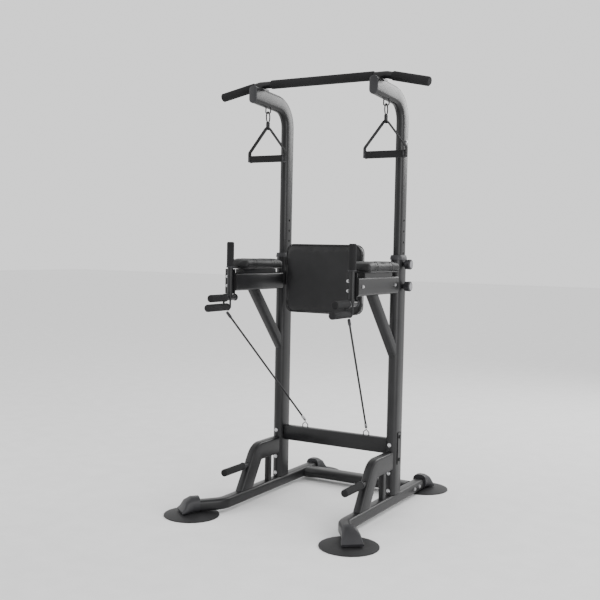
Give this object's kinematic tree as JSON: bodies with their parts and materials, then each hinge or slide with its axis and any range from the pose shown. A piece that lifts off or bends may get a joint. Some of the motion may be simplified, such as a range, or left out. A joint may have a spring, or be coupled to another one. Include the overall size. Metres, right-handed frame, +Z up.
{
  "type": "power tower",
  "caption": "Free-standing pull-up and dip tower: telescoping head, padded dip arms, backrest, hanging handles, bands and suction feet.",
  "frame": {"origin": "on the floor, midway between the two uprights", "axes": "+X to the right of someone facing the rear, +Y to the rear, +Z up"},
  "size_m": [1.0632, 1.248, 1.9719],
  "materials": {
    "steel_black": "satin powder coat",
    "foam_black": "matt foam",
    "vinyl_black": "satin vinyl",
    "rubber_black": "matt rubber",
    "plastic_grey": "matt moulded",
    "webbing_black": "woven"
  },
  "bodies": {
    "base": {"front_disc_left": "rubber_black", "front_disc_right": "rubber_black", "rear_disc_left": "rubber_black", "rear_disc_right": "rubber_black", "band_left": "rubber_black", "band_right": "rubber_black", "front_boot_left": "plastic_grey", "front_boot_right": "plastic_grey", "rear_boot_left": "plastic_grey", "rear_boot_right": "plastic_grey", "collar_left": "plastic_grey", "collar_right": "plastic_grey", "push_grip_left": "foam_black", "push_grip_right": "foam_black", "top_grip_left": "foam_black", "top_grip_right": "foam_black", "dip_grip_left": "foam_black", "dip_grip_right": "foam_black", "armrest_pad_left": "vinyl_black", "armrest_pad_right": "vinyl_black", "band_grip_left": "webbing_black", "band_grip_right": "webbing_black", "front_rail_left": "steel_black", "front_rail_right": "steel_black", "rear_rail_left": "steel_black", "rear_rail_right": "steel_black", "lower_upright_left": "steel_black", "lower_upright_right": "steel_black", "bolt_plate_left": "steel_black", "bolt_plate_right": "steel_black", "arch_brace_left": "steel_black", "arch_brace_right": "steel_black", "dip_arm_left": "steel_black", "dip_arm_right": "steel_black", "diagonal_brace_left": "steel_black", "diagonal_brace_right": "steel_black", "grip_tube_left": "steel_black", "grip_tube_right": "steel_black", "mid_crossbar": "steel_black", "rear_crossbar": "steel_black", "backrest_bar": "steel_black"},
    "upper_frame": {"upper_post_left": "steel_black", "upper_post_right": "steel_black", "pull_up_bar": "steel_black", "bar_foam": "foam_black", "bar_end_grip_left": "foam_black", "bar_end_grip_right": "foam_black"},
    "backrest": {"backrest_stem": "steel_black", "backrest_pad": "vinyl_black"},
    "backrest_knob_body": {"backrest_knob": "plastic_grey"},
    "swing_left": {"swing_strap_left": "webbing_black", "swing_grip_left": "foam_black"},
    "height_knob_body_left": {"height_knob_left": "plastic_grey"},
    "clamp_knob_body_left": {"clamp_knob_left": "plastic_grey"},
    "swing_right": {"swing_strap_right": "webbing_black", "swing_grip_right": "foam_black"},
    "height_knob_body_right": {"height_knob_right": "plastic_grey"},
    "clamp_knob_body_right": {"clamp_knob_right": "plastic_grey"}
  },
  "joints": [
    {"name": "height_slide", "type": "slide", "parent": "base", "child": "upper_frame", "axis": [0, 0, 1], "range_m": [-0.15, 0.15]},
    {"name": "backrest_slide", "type": "slide", "parent": "base", "child": "backrest", "axis": [0, -1, 0], "range_m": [-0.03, 0.05]},
    {"name": "backrest_knob_turn", "type": "hinge", "parent": "base", "child": "backrest_knob_body", "pos_m": [0, -0.02, 1.09], "axis": [0, 0, 1], "range_deg": [-180, 180]},
    {"name": "swing_left_swing", "type": "hinge", "parent": "upper_frame", "child": "swing_left", "pos_m": [-0.305, -0.175, 1.828], "axis": [1, 0, 0], "range_deg": [-80, 35]},
    {"name": "height_knob_left_turn", "type": "hinge", "parent": "base", "child": "height_knob_body_left", "pos_m": [-0.265, 0, 1.13], "axis": [1, 0, 0], "range_deg": [-180, 180]},
    {"name": "clamp_knob_left_turn", "type": "hinge", "parent": "base", "child": "clamp_knob_body_left", "pos_m": [-0.345, 0, 1.03], "axis": [1, 0, 0], "range_deg": [-180, 180]},
    {"name": "swing_right_swing", "type": "hinge", "parent": "upper_frame", "child": "swing_right", "pos_m": [0.305, -0.175, 1.828], "axis": [1, 0, 0], "range_deg": [-80, 35]},
    {"name": "height_knob_right_turn", "type": "hinge", "parent": "base", "child": "height_knob_body_right", "pos_m": [0.345, 0, 1.13], "axis": [1, 0, 0], "range_deg": [-180, 180]},
    {"name": "clamp_knob_right_turn", "type": "hinge", "parent": "base", "child": "clamp_knob_body_right", "pos_m": [0.345, 0, 1.03], "axis": [1, 0, 0], "range_deg": [-180, 180]}
  ]
}
